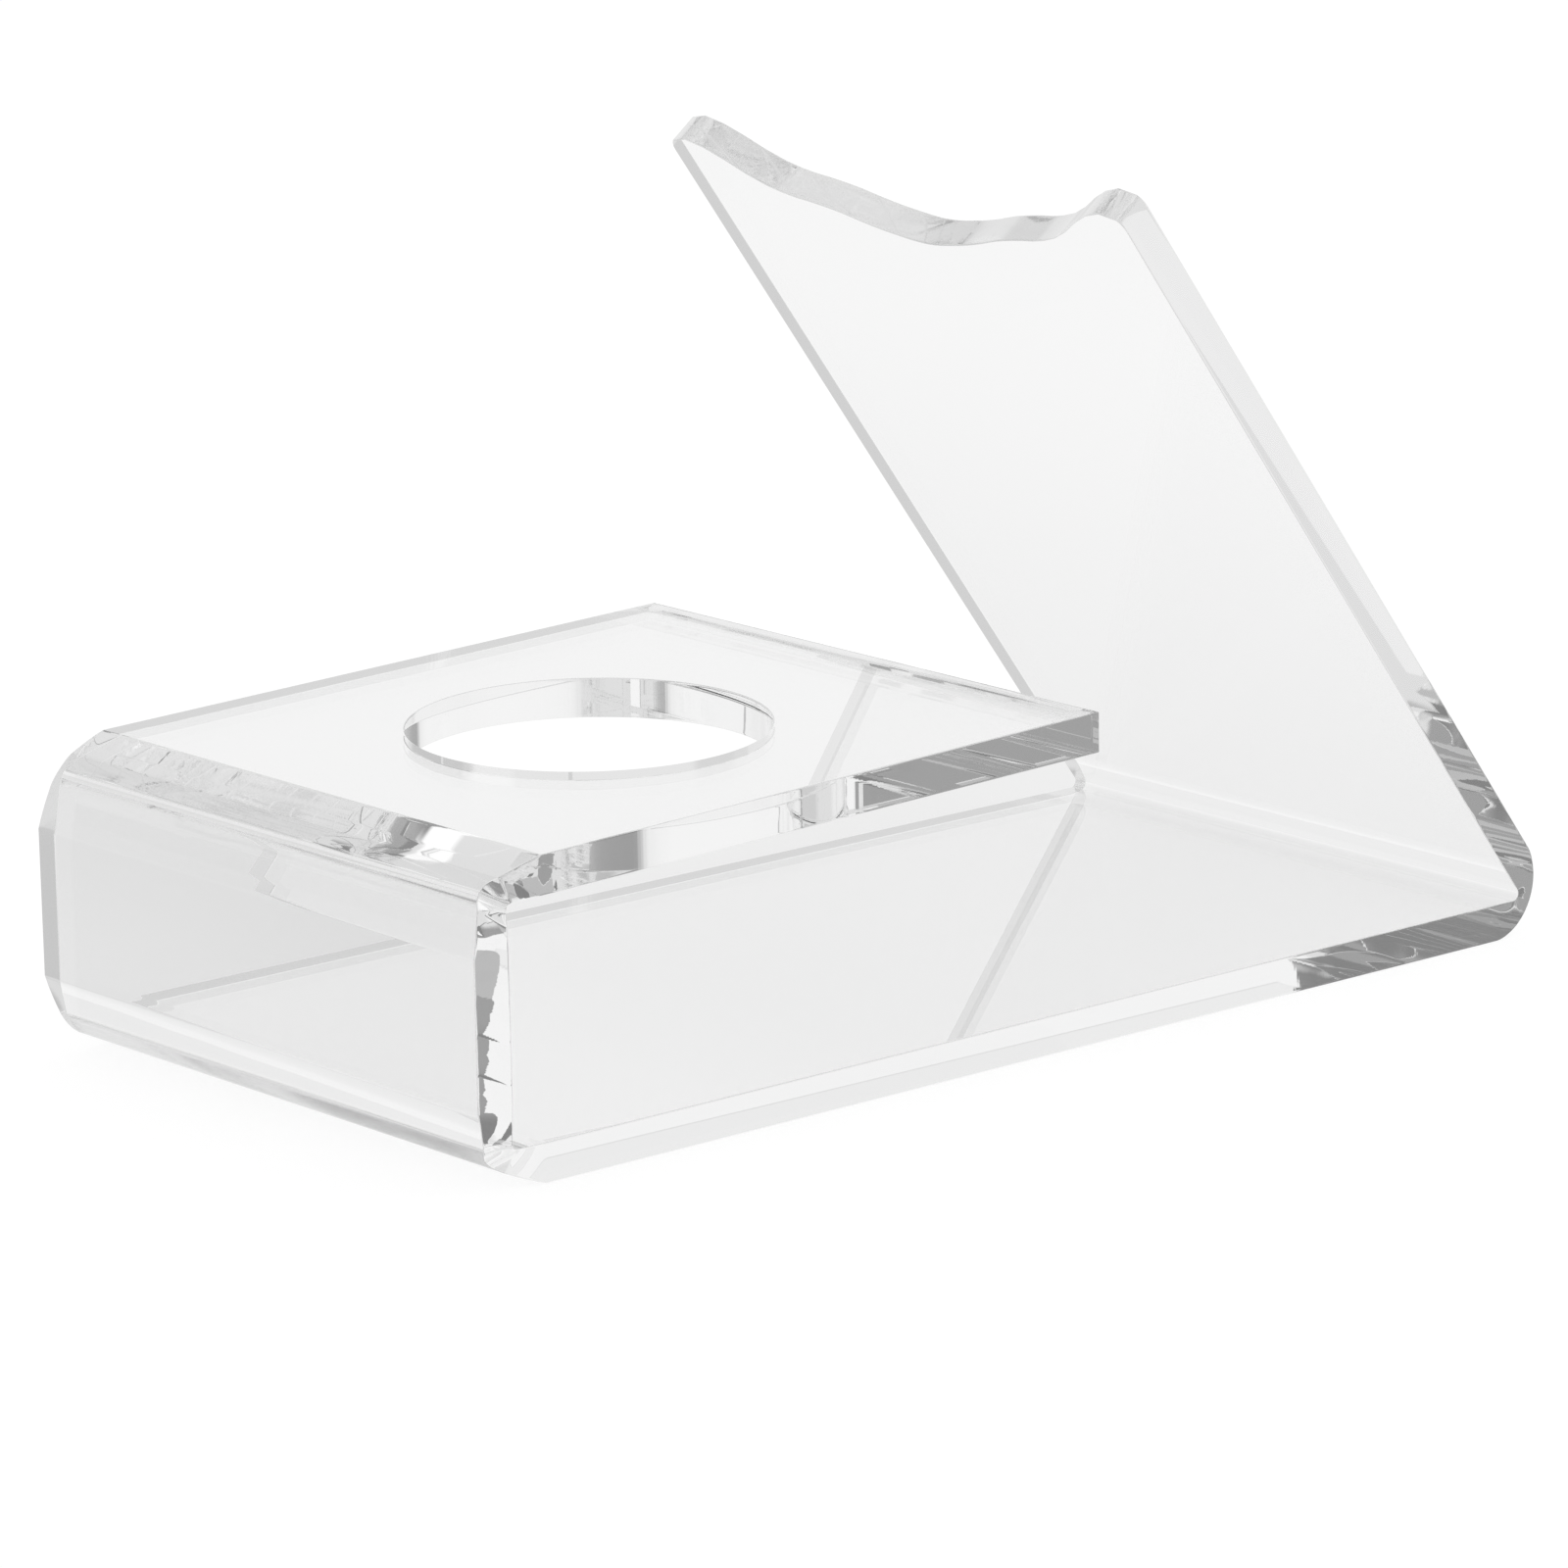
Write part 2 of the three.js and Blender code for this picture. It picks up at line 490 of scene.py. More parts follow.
class BentSheet:
    """The whole stand: one clear sheet, cut, polished and bent."""

    def __init__(self, sizes: SheetSizes, fineness: MeshFineness, marks: HeatMarks,
                 path: BentPath) -> None:
        """Keeps the sizes that the sheet is made from.

        Args:
            sizes: The sheet's sizes.
            fineness: How finely the mesh is divided.
            marks: What heating and polishing leave on it.
            path: The sheet's course in the side view.
        """
        self.sizes = sizes
        self.fineness = fineness
        self.marks = marks
        self.path = path
        self.blank = Blank()
        self.vertices: list[Vector] = []
        self.faces: list[tuple[int, ...]] = []
        self.finishes: list[Finish] = []
        self.runs: list[tuple[float, ...]] = []

    def hole_columns(self) -> list[float]:
        """Gives the columns that run through the square field round the hole."""
        half = self.sizes.hole_radius + self.fineness.hole_margin
        steps = self.fineness.hole_side_steps
        return [half * math.tan(math.pi / 4 * (2 * i / steps - 1)) for i in range(steps + 1)]

    def side_columns(self) -> list[float]:
        """Gives the columns from the field round the hole to the sheet's right side."""
        inner = self.hole_columns()[-1]
        outer = self.sizes.width / 2
        count = self.fineness.side_columns
        return [inner + (outer - inner) * i / count for i in range(count + 1)]

    def columns(self) -> list[float]:
        """Gives all columns, from the sheet's left side to its right."""
        right = self.side_columns()
        return [-x for x in reversed(right)] + self.hole_columns()[1:-1] + right

    def even_rows(self, first: float, last: float) -> list[float]:
        """Gives rows between two distances along the sheet, at most a flat spacing apart.

        The first and the last row are held by a close neighbour, so that a bend's shading
        ends where the bend does.

        Args:
            first: The first row.
            last: The last row.

        Returns:
            The rows in order.
        """
        hold = self.fineness.bend_hold
        start, end = first + hold, last - hold
        count = max(1, math.ceil((end - start) / self.fineness.flat_spacing))
        return [first] + [start + (end - start) * i / count for i in range(count + 1)] + [last]

    def saddle_height(self, x: float) -> float:
        """Gives the height of the back rest's top edge above the saddle's lowest point.

        Args:
            x: The distance from the sheet's middle, within the corners' rounds.

        Returns:
            The height along the back rest.
        """
        sizes = self.sizes
        tip_x = sizes.width / 2 - sizes.tip_radius
        across = abs(x)
        if across >= tip_x:
            beyond = across - tip_x
            return sizes.saddle_depth - sizes.tip_radius + math.sqrt(sizes.tip_radius**2 - beyond**2)
        shares = [(-w, d) for w, d in reversed(sizes.saddle_edge_shares[1:])]
        shares += sizes.saddle_edge_shares
        share = across / tip_x
        after = next(i for i, (w, _) in enumerate(shares) if w > share)
        (w0, d0), (w1, d1) = shares[after - 1], shares[after]
        before_w, before_d = shares[after - 2]
        next_w, next_d = shares[min(after + 1, len(shares) - 1)]
        slope0 = (d1 - before_d) / (w1 - before_w)
        slope1 = (next_d - d0) / (next_w - w0)
        span = w1 - w0
        t = (share - w0) / span
        depth_share = (
            (2 * t**3 - 3 * t**2 + 1) * d0 + (t**3 - 2 * t**2 + t) * span * slope0
            + (3 * t**2 - 2 * t**3) * d1 + (t**3 - t**2) * span * slope1
        )
        return depth_share * sizes.saddle_depth

    def lay_out_shelf(self) -> None:
        """Lays out the shelf with its hole, from the free edge to the first bend."""
        sizes, columns, field_columns = self.sizes, self.columns(), self.hole_columns()
        half = field_columns[-1]
        centre = sizes.shelf_depth - sizes.hole_setback
        end = self.path.stretches[0].length
        before = self.even_rows(0.0, centre - half)
        behind = self.even_rows(centre + half, end)
        for rows in (before, behind):
            self.blank.grid([[(x, u) for x in columns] for u in rows])
        beside = [centre + v for v in field_columns]
        right = self.side_columns()
        self.blank.grid([[(x, u) for x in right] for u in beside])
        self.blank.grid([[(-x, u) for x in reversed(right)] for u in beside])
        self.lay_out_hole_field(centre, field_columns)

    def lay_out_hole_field(self, centre: float, columns: list[float]) -> None:
        """Lays out the square field round the hole in rings.

        Args:
            centre: The distance of the hole's centre along the sheet.
            columns: The columns that the field shares with its neighbours.
        """
        half = columns[-1]
        square = [(x, -half) for x in columns[:-1]] + [(half, v) for v in columns[:-1]]
        square += [(x, half) for x in reversed(columns[1:])]
        square += [(-half, v) for v in reversed(columns[1:])]
        square.append(square[0])
        radius = self.sizes.hole_radius
        rings = []
        for ring in range(self.fineness.hole_rings + 1):
            share = ring / self.fineness.hole_rings
            row = []
            for x, v in square:
                scale = radius / math.hypot(x, v)
                stretch = share + (1 - share) * scale
                row.append((x * stretch, centre + v * stretch))
            rings.append(row)
        self.blank.grid(list(reversed(rings)))

    def lay_out_bends_and_panels(self) -> None:
        """Lays out the bends, the front wall and the base."""
        columns = self.columns()
        for stretch in self.path.stretches[1:-1]:
            if isinstance(stretch, Bend):
                count = self.fineness.bend_steps
                rows = [stretch.first_u + stretch.length * i / count for i in range(count + 1)]
            else:
                rows = self.even_rows(stretch.first_u, stretch.first_u + stretch.length)
            self.blank.grid([[(x, u) for x in columns] for u in rows])

    def lay_out_rest(self) -> None:
        """Lays out the back rest, whose last row follows the saddle."""
        sizes, columns = self.sizes, self.columns()
        radius, half, end = sizes.tip_radius, sizes.width / 2, self.path.length
        first = self.path.stretches[-1].first_u
        round_off = radius * (1 - math.cos(math.pi / 4))
        corner_x, corner_u = half - round_off, end - round_off
        arc_start = end - radius
        shares = [u / (corner_u - first) for u in self.even_rows(0.0, arc_start - first)]
        shares += [1 - (1 - shares[-1]) * left for left in self.fineness.tip_shares]
        rows = []
        for share in shares:
            beyond = max(0.0, first + share * (corner_u - first) - arc_start)
            side_x = half - radius + math.sqrt(radius**2 - beyond**2)
            row = []
            for x in columns:
                end_u = end - sizes.saddle_depth + self.saddle_height(x * corner_x / half)
                row.append((x * side_x / half, (1 - share) * first + share * end_u))
            rows.append(row)
        self.blank.grid(rows)

    def place(self, x: float, u: float, depth: float) -> Vector:
        """Bends a point of the flat sheet into place, with the marks that the heat leaves.

        Args:
            x: The distance across the sheet from its middle.
            u: The distance along the flat sheet from the shelf's free edge.
            depth: The distance from the outer face into the sheet.

        Returns:
            The point in the row frame.
        """
        marks, thickness = self.marks, self.sizes.thickness
        outer_share = 1 - depth / thickness
        stretch = self.path.stretch_at(u)
        bend = stretch.bend_share(u)
        if stretch is self.path.stretches[0]:
            depth += marks.shelf_excess * (1 - u / stretch.length) * (1 - outer_share)
        if stretch is self.path.stretches[-1]:
            depth += marks.rest_loss * (u - stretch.first_u) / stretch.length * outer_share
        depth += marks.wall_excess * self.path.wall_share(u) * (1 - outer_share)
        spot = Vector((x, u, 0.0)) / marks.ripple_length
        outer_ripple = 0.5 + 0.5 * noise.noise(spot)
        inner_ripple = -0.5 + 0.5 * noise.noise(spot + Vector((0.0, 0.0, marks.inner_ripple_seed)))
        depth += marks.ripple * bend * (outer_share * outer_ripple + (1 - outer_share) * inner_ripple)
        from_end = self.sizes.width / 2 - abs(x)
        draw = stretch.draw(u, x) * outer_share * math.exp(-from_end / marks.end_reach)
        return self.path.place(x - math.copysign(draw, x), u, depth)

    def edge_section(self) -> list[tuple[float, float]]:
        """Gives the polished edge's section, from the inner face to the outer one.

        Returns:
            Pairs of the distance in from the sheet's outline and the depth.
        """
        radius, thickness = self.marks.edge_round, self.sizes.thickness
        hold, steps = self.fineness.hold, self.fineness.round_steps
        section = []
        for i in range(steps + 1):
            angle = math.pi / 2 * i / steps
            depth = thickness - radius * (1 - math.cos(angle))
            section.append((radius * (1 - math.sin(angle)), depth))
        section.append((0.0, thickness - radius - hold))
        section.append((0.0, thickness / 2))
        outer_half = [(inset, thickness - depth) for inset, depth in reversed(section[:-1])]
        return section + outer_half

    def raise_faces(self) -> tuple[list[int], list[int]]:
        """Raises the blank into the sheet's inner and outer faces.

        Returns:
            The vertex numbers of the blank's points on the inner and on the outer face.
        """
        inset = self.marks.edge_round + self.fineness.hold
        spots = [Vector(p) for p in self.blank.points]
        for loop in self.blank.borders():
            for number, out in zip(loop, self.blank.outward(loop)):
                spots[number] = spots[number] - out * inset
        sides = []
        for depth in (self.sizes.thickness, 0.0):
            first = len(self.vertices)
            self.vertices += [self.place(p.x, p.y, depth) for p in spots]
            sides.append([first + i for i in range(len(spots))])
        inner, outer = sides
        for quad in self.blank.quads:
            self.faces.append(tuple(outer[i] for i in reversed(quad)))
            self.faces.append(tuple(inner[i] for i in quad))
            self.finishes += [Finish.FACE, Finish.FACE]
            self.runs += [(0.0,) * 4, (0.0,) * 4]
        return inner, outer

    def close_edges(self, inner: list[int], outer: list[int]) -> None:
        """Closes the sheet with its polished edges, outside and in the hole.

        Args:
            inner: The vertex numbers of the blank's points on the inner face.
            outer: The same on the outer face.
        """
        marks = self.marks
        for loop in self.blank.borders():
            outwards = self.blank.outward(loop)
            spots = [Vector(self.blank.points[i]) for i in loop]
            seed, wavelength = marks.edge_wave_seed, marks.edge_wave_length
            sources = [Vector((spot.x, spot.y, seed)) / wavelength for spot in spots]
            waves = [marks.edge_wave * (0.5 + 0.5 * noise.noise(source)) for source in sources]
            rings = [[inner[i] for i in loop]]
            for inset, depth in self.edge_section():
                first = len(self.vertices)
                for spot, out, wave in zip(spots, outwards, waves):
                    moved = spot - out * (inset + wave * (1 - inset / marks.edge_round))
                    self.vertices.append(self.place(moved.x, moved.y, depth))
                rings.append([first + i for i in range(len(loop))])
            rings.append([outer[i] for i in loop])
            runs = [0.0]
            for a, b in zip(spots, spots[1:] + spots[:1]):
                runs.append(runs[-1] + (b - a).length)
            for low, high in zip(rings, rings[1:]):
                for i in range(len(loop)):
                    j = (i + 1) % len(loop)
                    self.faces.append((low[i], high[i], high[j], low[j]))
                    self.finishes.append(Finish.POLISHED_EDGE)
                    self.runs.append((runs[i], runs[i], runs[i + 1], runs[i + 1]))

    def build(self, face: bpy.types.Material, edge: bpy.types.Material) -> bpy.types.Object:
        """Makes the sheet's object.

        Args:
            face: The material of the flat faces and bends.
            edge: The material of the polished edges.

        Returns:
            The object, linked to the scene.
        """
        self.lay_out_shelf()
        self.lay_out_bends_and_panels()
        self.lay_out_rest()
        inner, outer = self.raise_faces()
        self.close_edges(inner, outer)
        mesh = bpy.data.meshes.new("clear_bent_sheet")
        mesh.from_pydata(self.vertices, [], self.faces)
        mesh.materials.append(face)
        mesh.materials.append(edge)
        for polygon, finish in zip(mesh.polygons, self.finishes):
            polygon.material_index = finish.value
            polygon.use_smooth = True
        along = mesh.attributes.new(ALONG_EDGE, "FLOAT", "CORNER")
        along.data.foreach_set("value", [run for face_runs in self.runs for run in face_runs])
        mesh.update()
        sheet = bpy.data.objects.new("clear_bent_sheet", mesh)
        bpy.context.scene.collection.objects.link(sheet)
        return sheet


def feed(tree: Tree, socket: Socket, value: Level | tuple[float, float, float]) -> None:
    """Links a node's input to a socket, or sets it to a fixed value.

    Args:
        tree: The node tree that holds the node.
        socket: The input.
        value: The socket to link from, or the value.
    """
    if isinstance(value, Socket):
        tree.links.new(value, socket)
    else:
        socket.default_value = value


def math_node(tree: Tree, operation: str, *inputs: Level) -> Socket:
    """Adds a math node.

    Args:
        tree: The node tree to add to.
        operation: The name of the operation.
        inputs: Sockets or numbers, in the order of the node's inputs.

    Returns:
        The node's output.
    """
    node = tree.nodes.new("ShaderNodeMath")
    node.operation = operation
    for socket, value in zip(node.inputs, inputs):
        feed(tree, socket, value)
    return node.outputs[0]


def fade_node(tree: Tree, value: Socket, start: float, end: float,
              low: Level = 0.0, high: Level = 1.0) -> Socket:
    """Adds a node that fades smoothly from one level to another.

    Args:
        tree: The node tree to add to.
        value: What the fade depends on.
        start: The value at which it leaves the low level.
        end: The value at which it reaches the high level.
        low: The level before the fade.
        high: The level after it.

    Returns:
        The node's output.
    """
    node = tree.nodes.new("ShaderNodeMapRange")
    node.interpolation_type = "SMOOTHSTEP"
    tree.links.new(value, node.inputs["Value"])
    for name, level in (("From Min", start), ("From Max", end), ("To Min", low), ("To Max", high)):
        feed(tree, node.inputs[name], level)
    return node.outputs["Result"]


def mix_node(tree: Tree, share: Socket, low: Level, high: Level) -> Socket:
    """Adds a node that mixes two levels.

    Args:
        tree: The node tree to add to.
        share: The share of the second level.
        low: The first level.
        high: The second level.

    Returns:
        The node's output.
    """
    node = tree.nodes.new("ShaderNodeMapRange")
    tree.links.new(share, node.inputs["Value"])
    feed(tree, node.inputs["To Min"], low)
    feed(tree, node.inputs["To Max"], high)
    return node.outputs["Result"]


def vector_node(tree: Tree, operation: str,
                *inputs: Socket | tuple[float, float, float]) -> Socket:
    """Adds a vector math node.

    Args:
        tree: The node tree to add to.
        operation: The name of the operation.
        inputs: Sockets or vectors, in the order of the node's inputs.

    Returns:
        The node's output, which is a number where the operation gives one.
    """
    node = tree.nodes.new("ShaderNodeVectorMath")
    node.operation = operation
    for socket, value in zip(node.inputs, inputs):
        feed(tree, socket, value)
    return node.outputs["Value" if operation == "DOT_PRODUCT" else "Vector"]


@dataclass(frozen=True)
class ClearAcrylic:
    """Clear acrylic, with the faint unevenness that its faces have.

    The bump is far too low to see as relief: it only bends reflections a little.
    """

    name: str = "clear_acrylic_face"
    color: tuple[float, float, float, float] = (0.996, 0.996, 0.996, 1.0)
    ior: float = 1.491
    roughness: float = 0.0
    waves_per_metre: float = 25.0
    wave_detail: float = 0.0
    wave_height: float = 0.004 * MM

    def height(self, tree: Tree) -> Socket:
        """Adds the nodes of the finish's relief.

        Args:
            tree: The material's node tree.

        Returns:
            The relief's height, from 0 to 1.
        """
        place = tree.nodes.new("ShaderNodeTexCoord")
        waves = tree.nodes.new("ShaderNodeTexNoise")
        waves.inputs["Scale"].default_value = self.waves_per_metre
        waves.inputs["Detail"].default_value = self.wave_detail
        tree.links.new(place.outputs["Object"], waves.inputs["Vector"])
        return waves.outputs["Fac"]

    def material(self) -> bpy.types.Material:
        """Makes the node material.

        Returns:
            The material.
        """
        material = bpy.data.materials.new(self.name)
        material.use_nodes = True
        tree = material.node_tree
        shader = tree.nodes["Principled BSDF"]
        shader.inputs["Base Color"].default_value = self.color
        shader.inputs["Roughness"].default_value = self.roughness
        shader.inputs["IOR"].default_value = self.ior
        shader.inputs["Transmission Weight"].default_value = 1.0
        bump = tree.nodes.new("ShaderNodeBump")
        bump.inputs["Strength"].default_value = 1.0
        bump.inputs["Distance"].default_value = self.wave_height
        tree.links.new(self.height(tree), bump.inputs["Height"])
        tree.links.new(bump.outputs["Normal"], shader.inputs["Normal"])
        return material


@dataclass(frozen=True)
class PolishedEdge(ClearAcrylic):
    """The same acrylic where it was cut and polished, with faint striations across the edge."""

    name: str = "clear_acrylic_polished_edge"
    waves_per_metre: float = 1500.0
    wave_detail: float = 2.0
    wave_height: float = 0.003 * MM

    def height(self, tree: Tree) -> Socket:
        """Adds the nodes of the striations.

        Args:
            tree: The material's node tree.

        Returns:
            The striations' height, from 0 to 1.
        """
        run = tree.nodes.new("ShaderNodeAttribute")
        run.attribute_name = ALONG_EDGE
        cuts = tree.nodes.new("ShaderNodeTexNoise")
        cuts.noise_dimensions = "1D"
        cuts.inputs["Scale"].default_value = self.waves_per_metre
        cuts.inputs["Detail"].default_value = self.wave_detail
        tree.links.new(run.outputs["Fac"], cuts.inputs["W"])
        return cuts.outputs["Fac"]


def level_way(degrees: float) -> tuple[float, float, float]:
    """Gives the level direction at an angle from +X, counter-clockwise from above."""
    angle = math.radians(degrees)
    return (math.cos(angle), math.sin(angle), 0.0)


@dataclass(frozen=True)
class Sector:
    """A soft-edged sector of the directions round the stand, in degrees."""

    middle: float
    half_width: float
    softness: float

    def share(self, tree: Tree, way: Socket) -> Socket:
        """Adds nodes that tell how far a direction lies in the sector.

        Args:
            tree: The node tree to add to.
            way: A level unit vector.

        Returns:
            A socket that is 1 in the sector and 0 outside it.
        """
        edge = math.cos(math.radians(self.half_width + self.softness / 2))
        core = math.cos(math.radians(self.half_width - self.softness / 2))
        along = vector_node(tree, "DOT_PRODUCT", way, level_way(self.middle))
        return fade_node(tree, along, edge, core)


@dataclass(frozen=True)
class Patch:
    """A soft-edged patch of the surroundings, round a level direction, with its brightness."""

    sector: Sector
    bottom: float
    top: float
    level: float
    softness: float = 0.1

    def mix(self, tree: Tree, way: Socket, height: Socket, level: Level) -> Socket:
        """Adds nodes that lay the patch over a level.

        Args:
            tree: The node tree to add to.
            way: The level direction, of length 1.
            height: The height of the full direction, from -1 to 1.
            level: The level outside the patch.

        Returns:
            The level with the patch.
        """
        half = self.softness / 2
        above = fade_node(tree, height, self.bottom - half, self.bottom + half)
        below = fade_node(tree, height, self.top - half, self.top + half, 1.0, 0.0)
        share = math_node(tree, "MULTIPLY", self.sector.share(tree, way), above)
        return mix_node(tree, math_node(tree, "MULTIPLY", share, below), level, self.level)


@dataclass(frozen=True)
class Field:
    """A soft-edged oblong field of the floor, in metres, with its brightness."""

    x_range: tuple[float, float]
    y_range: tuple[float, float]
    level: float
    softness: float

    def mix(self, tree: Tree, x: Socket, y: Socket, level: Level) -> Socket:
        """Adds nodes that lay the field over a level.

        Args:
            tree: The node tree to add to.
            x: The place's x.
            y: The place's y.
            level: The level outside the field.

        Returns:
            The level with the field.
        """
        shares = []
        for value, (low, high) in ((x, self.x_range), (y, self.y_range)):
            shares.append(fade_node(tree, value, low - self.softness, low))
            shares.append(fade_node(tree, value, high, high + self.softness, 1.0, 0.0))
        share = shares[0]
        for other in shares[1:]:
            share = math_node(tree, "MULTIPLY", share, other)
        return mix_node(tree, share, level, self.level)


@dataclass(frozen=True)
class RayKinds:
    """Sockets that are 1 for one kind of ray and 0 for the others."""

    camera: Socket
    in_glass: Socket
    bounced: Socket

    @classmethod
    def of(cls, tree: Tree) -> "RayKinds":
        """Adds the nodes that tell the kinds of ray apart.

        Args:
            tree: The node tree to add to.

        Returns:
            The sockets: from the camera, in or off glass, and reflected at least once.
        """
        light_path = tree.nodes.new("ShaderNodeLightPath").outputs
        in_glass = math_node(tree, "MAXIMUM", light_path["Is Glossy Ray"],
                             light_path["Is Transmission Ray"])
        bounced = math_node(tree, "GREATER_THAN", light_path["Glossy Depth"], 0.0)
        return cls(light_path["Is Camera Ray"], in_glass, bounced)


@dataclass(frozen=True)
class Studio:
    """The plain studio: a pale floor, even light and a white backdrop behind.

    Reflections in the acrylic also show a dark opening on the left, a duller right side and a
    lamp in front. The floor and the sky are white to the camera and near white straight
    through the acrylic. The stand's shadow is painted on the floor: the floor is a little darker
    beside and before the stand, and straight through the acrylic it is darker near the stand
    than far behind it.
    """

    floor_half: float = 8.0
    floor_drop: float = 0.1 * MM
    floor_color: tuple[float, float, float, float] = (0.93, 0.93, 0.93, 1.0)
    camera_glow_share: float = 0.85
    glass_glow_share: float = 0.75
    floor_seen_by_camera: float = 1.06
    sky_seen_by_camera: float = 1.0
    light_level: float = 0.9
    room_level: float = 0.74
    backdrop: Patch = Patch(Sector(134.0, 30.0, 12.0), 0.05, 0.6, 0.93)
    back_floor: Patch = Patch(Sector(134.0, 22.0, 12.0), -0.5, -0.05, 0.86)
    opening: Patch = Patch(Sector(199.5, 34.0, 4.0), -0.06, 0.36, 0.32)
    high_opening: Patch = Patch(Sector(203.5, 38.0, 4.0), 0.3, 0.79, 0.19)
    left_floor: Patch = Patch(Sector(207.0, 34.0, 8.0), -0.62, -0.06, 0.48)
    right_floor: Patch = Patch(Sector(52.0, 24.0, 8.0), -0.42, -0.02, 0.61)
    right_sky: Patch = Patch(Sector(45.0, 15.0, 8.0), 0.12, 0.45, 0.52)
    lamp: Patch = Patch(Sector(255.0, 15.0, 6.0), 0.07, 0.62, 1.05)
    # Painted soft shadow of the stand: straight through the acrylic, the floor glows less near the
    # stand than far behind it.
    straight_front_level: float = 0.97
    straight_level: float = 0.92
    straight_back_level: float = 1.03
    straight_sky_level: float = 0.9
    straight_front_start: float = -70 * MM
    straight_front_end: float = -15 * MM
    straight_back_start: float = 60 * MM
    straight_back_end: float = 360 * MM
    # Painted shadow of the shelf on the floor beside the stand's far side and in front of shade_back,
    # darkest along shade_back, seen straight through the acrylic.
    shade_level: float = 0.77
    shade_front_level: float = 0.83
    shade_back: float = -13 * MM
    shade_side: float = -44 * MM
    shade_depth: float = 50 * MM
    shade_softness: float = 4 * MM
    # Painted soft shadow of the stand on the floor beside its far side, as the camera sees the floor.
    shade_beside: Field = Field((-66 * MM, -38 * MM), (-20 * MM, 110 * MM), 0.87, 8 * MM)
    light_bounces: int = 200

    def ray_level(self, tree: Tree, camera: Level, straight: Level, reflected: Level,
                  light: float) -> Socket:
        """Adds nodes that choose a level by the kind of ray.

        Args:
            tree: The node tree to add to.
            camera: The level for the camera.
            straight: The level straight through glass.
            reflected: The level after a reflection on glass or in it.
            light: The level for diffuse light.

        Returns:
            The chosen level.
        """
        rays = RayKinds.of(tree)
        in_glass = mix_node(tree, rays.bounced, straight, reflected)
        level = mix_node(tree, rays.in_glass, light, in_glass)
        return mix_node(tree, rays.camera, level, camera)

    def floor_level(self, tree: Tree) -> Socket:
        """Adds the nodes of the floor's level, by place and kind of ray.

        Args:
            tree: The floor material's node tree.

        Returns:
            The level.
        """
        place = tree.nodes.new("ShaderNodeNewGeometry").outputs["Position"]
        split = tree.nodes.new("ShaderNodeSeparateXYZ")
        tree.links.new(place, split.inputs["Vector"])
        x, y = split.outputs["X"], split.outputs["Y"]
        soft = self.shade_softness
        # Painted soft shadow of the stand: the floor seen straight through the acrylic is darker near
        # the stand than far behind it.
        front = fade_node(tree, y, self.straight_front_start, self.straight_front_end,
                          self.straight_front_level, self.straight_level)
        back = fade_node(tree, y, self.straight_back_start, self.straight_back_end,
                         front, self.straight_back_level)
        # Painted shadow of the shelf: beside the stand and in front of shade_back, the floor seen
        # straight through the acrylic is darker, most of all along shade_back.
        shade = fade_node(tree, y, self.shade_back - self.shade_depth, self.shade_back,
                          self.shade_front_level, self.shade_level)
        in_front = fade_node(tree, y, self.shade_back - soft, self.shade_back, 1.0, 0.0)
        beside = fade_node(tree, x, self.shade_side - soft, self.shade_side, 1.0, 0.0)
        straight = mix_node(tree, math_node(tree, "MULTIPLY", in_front, beside), back, shade)
        # Painted soft shadow of the stand beside its far side, for the floor as the camera sees it.
        camera = self.shade_beside.mix(tree, x, y, self.floor_seen_by_camera)
        return self.ray_level(tree, camera, straight, 0.0, 0.0)

    def floor_material(self) -> bpy.types.Material:
        """Makes the pale floor's material, which glows white but keeps some shadow.

        Returns:
            The material, which reflected rays pass through.
        """
        material = bpy.data.materials.new("pale_floor")
        material.use_nodes = True
        tree = material.node_tree
        tree.nodes.remove(tree.nodes["Principled BSDF"])
        diffuse = tree.nodes.new("ShaderNodeBsdfDiffuse")
        diffuse.inputs["Color"].default_value = self.floor_color
        glow = tree.nodes.new("ShaderNodeEmission")
        tree.links.new(self.floor_level(tree), glow.inputs["Strength"])
        clear = tree.nodes.new("ShaderNodeBsdfTransparent")
        rays = RayKinds.of(tree)
        glow_share = math_node(tree, "MULTIPLY", rays.in_glass, self.glass_glow_share)
        glow_share = mix_node(tree, rays.camera, glow_share, self.camera_glow_share)
        clear_share = math_node(tree, "MULTIPLY", rays.bounced, rays.in_glass)
        surface = diffuse.outputs["BSDF"]
        for share, shader in ((glow_share, glow.outputs[0]), (clear_share, clear.outputs[0])):
            mix = tree.nodes.new("ShaderNodeMixShader")
            for source, socket in zip((share, surface, shader), mix.inputs):
                tree.links.new(source, socket)
            surface = mix.outputs["Shader"]
        tree.links.new(surface, tree.nodes["Material Output"].inputs["Surface"])
        return material

    def floor(self) -> bpy.types.Object:
        """Makes the floor, which is no part of the object.

        Returns:
            The floor's object.
        """
        half = self.floor_half
        mesh = bpy.data.meshes.new("studio_floor")
        corners = [(-half, -half), (half, -half), (half, half), (-half, half)]
        mesh.from_pydata([(x, y, -self.floor_drop) for x, y in corners], [], [(0, 1, 2, 3)])
        mesh.materials.append(self.floor_material())
        floor = bpy.data.objects.new("studio_floor", mesh)
        bpy.context.scene.collection.objects.link(floor)
        floor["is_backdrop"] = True
        return floor

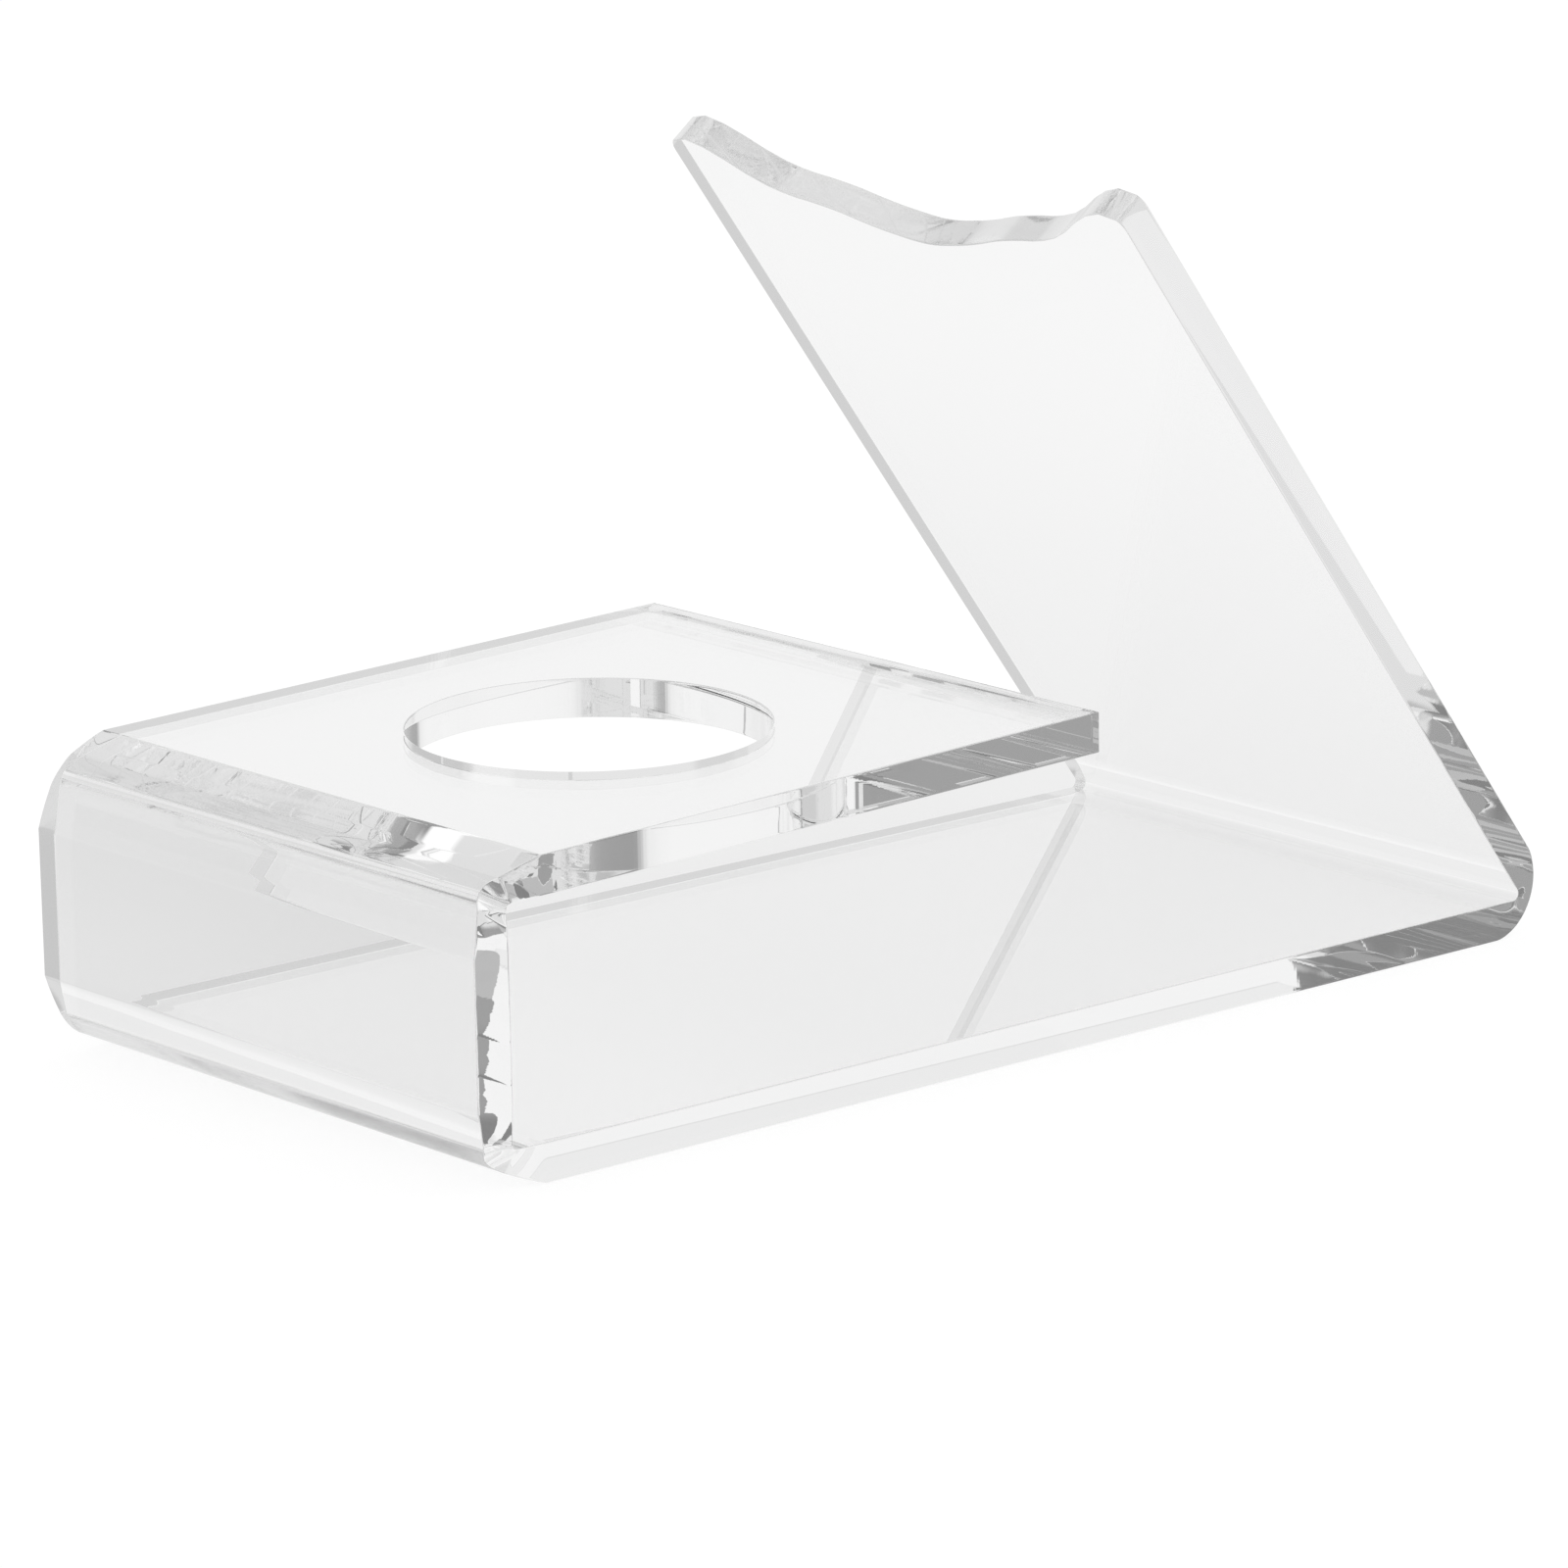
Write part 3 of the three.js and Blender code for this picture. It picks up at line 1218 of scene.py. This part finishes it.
    def world(self) -> None:
        """Sets the world: a white backdrop, a lamp, a dark opening and an even room."""
        world = bpy.data.worlds.new("studio")
        world.use_nodes = True
        bpy.context.scene.world = world
        tree = world.node_tree
        background = tree.nodes["Background"]
        background.inputs["Color"].default_value = (1.0, 1.0, 1.0, 1.0)
        direction = tree.nodes.new("ShaderNodeTexCoord").outputs["Generated"]
        height = vector_node(tree, "DOT_PRODUCT", direction, (0.0, 0.0, 1.0))
        flat = vector_node(tree, "MULTIPLY", direction, (1.0, 1.0, 0.0))
        way = vector_node(tree, "NORMALIZE", flat)
        level = self.room_level
        for patch in (self.backdrop, self.back_floor, self.right_floor, self.right_sky,
                      self.left_floor, self.opening, self.high_opening, self.lamp):
            level = patch.mix(tree, way, height, level)
        strength = self.ray_level(
            tree, self.sky_seen_by_camera, self.straight_sky_level, level, self.light_level)
        tree.links.new(strength, background.inputs["Strength"])

    def build(self) -> None:
        """Builds the floor, the world and the render's light bounces."""
        self.floor()
        self.world()
        cycles = bpy.context.scene.cycles
        cycles.max_bounces = self.light_bounces
        cycles.transmission_bounces = self.light_bounces
        cycles.glossy_bounces = self.light_bounces
        bpy.context.scene.view_settings.view_transform = "Standard"


@dataclass(frozen=True)
class PhotoCamera:
    """The camera, placed as the photograph was taken; lengths in metres."""

    aim: tuple[float, float, float] = (6.6 * MM, -11.0 * MM, 29.5 * MM)
    distance: float = 929.8 * MM
    azimuth: float = math.radians(47.23)
    elevation: float = math.radians(13.87)
    roll: float = math.radians(0.37)
    focal_pixels: float = 7814.0
    image_pixels: int = 1600
    sensor: float = 36.0

    def build(self) -> bpy.types.Object:
        """Makes the camera and sets it as the scene's.

        Returns:
            The camera's object.
        """
        data = bpy.data.cameras.new("photo_camera")
        data.sensor_width = self.sensor
        data.lens = self.focal_pixels / self.image_pixels * self.sensor
        camera = bpy.data.objects.new("photo_camera", data)
        back = Vector((
            math.sin(self.azimuth) * math.cos(self.elevation),
            -math.cos(self.azimuth) * math.cos(self.elevation),
            math.sin(self.elevation),
        ))
        level_right = Vector((math.cos(self.azimuth), math.sin(self.azimuth), 0.0))
        level_up = back.cross(level_right)
        right = level_right * math.cos(self.roll) + level_up * math.sin(self.roll)
        up = level_up * math.cos(self.roll) - level_right * math.sin(self.roll)
        turn = Matrix((right, up, back)).transposed().to_4x4()
        camera.matrix_world = Matrix.Translation(Vector(self.aim) + back * self.distance) @ turn
        bpy.context.scene.collection.objects.link(camera)
        bpy.context.scene.camera = camera
        return camera


def write_sizes() -> None:
    """Works out the CAD model's box and the visual model's box, and keeps neither."""
    boxes = {"cad": CAD_BOX, "visual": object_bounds()}
    {name: [list(corner) for corner in box] for name, box in boxes.items()}


def main() -> None:
    """Builds the camera, the studio and the stand in order."""
    logging.basicConfig(level=logging.INFO, format="%(name)s: %(message)s")
    PhotoCamera().build()
    Studio().build()
    low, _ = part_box(SHEET_NODE)
    sizes, marks = SheetSizes(), HeatMarks()
    sheet = BentSheet(sizes, MeshFineness(), marks, BentPath(sizes, marks, low.y))
    piece = sheet.build(ClearAcrylic().material(), PolishedEdge().material())
    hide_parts(SHEET_NODE)
    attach(piece, "root")
    mesh = piece.data
    log.info("%s: %d vertices, %d faces", piece.name, len(mesh.vertices), len(mesh.polygons))
    write_sizes()


if __name__ == "__main__":
    main()
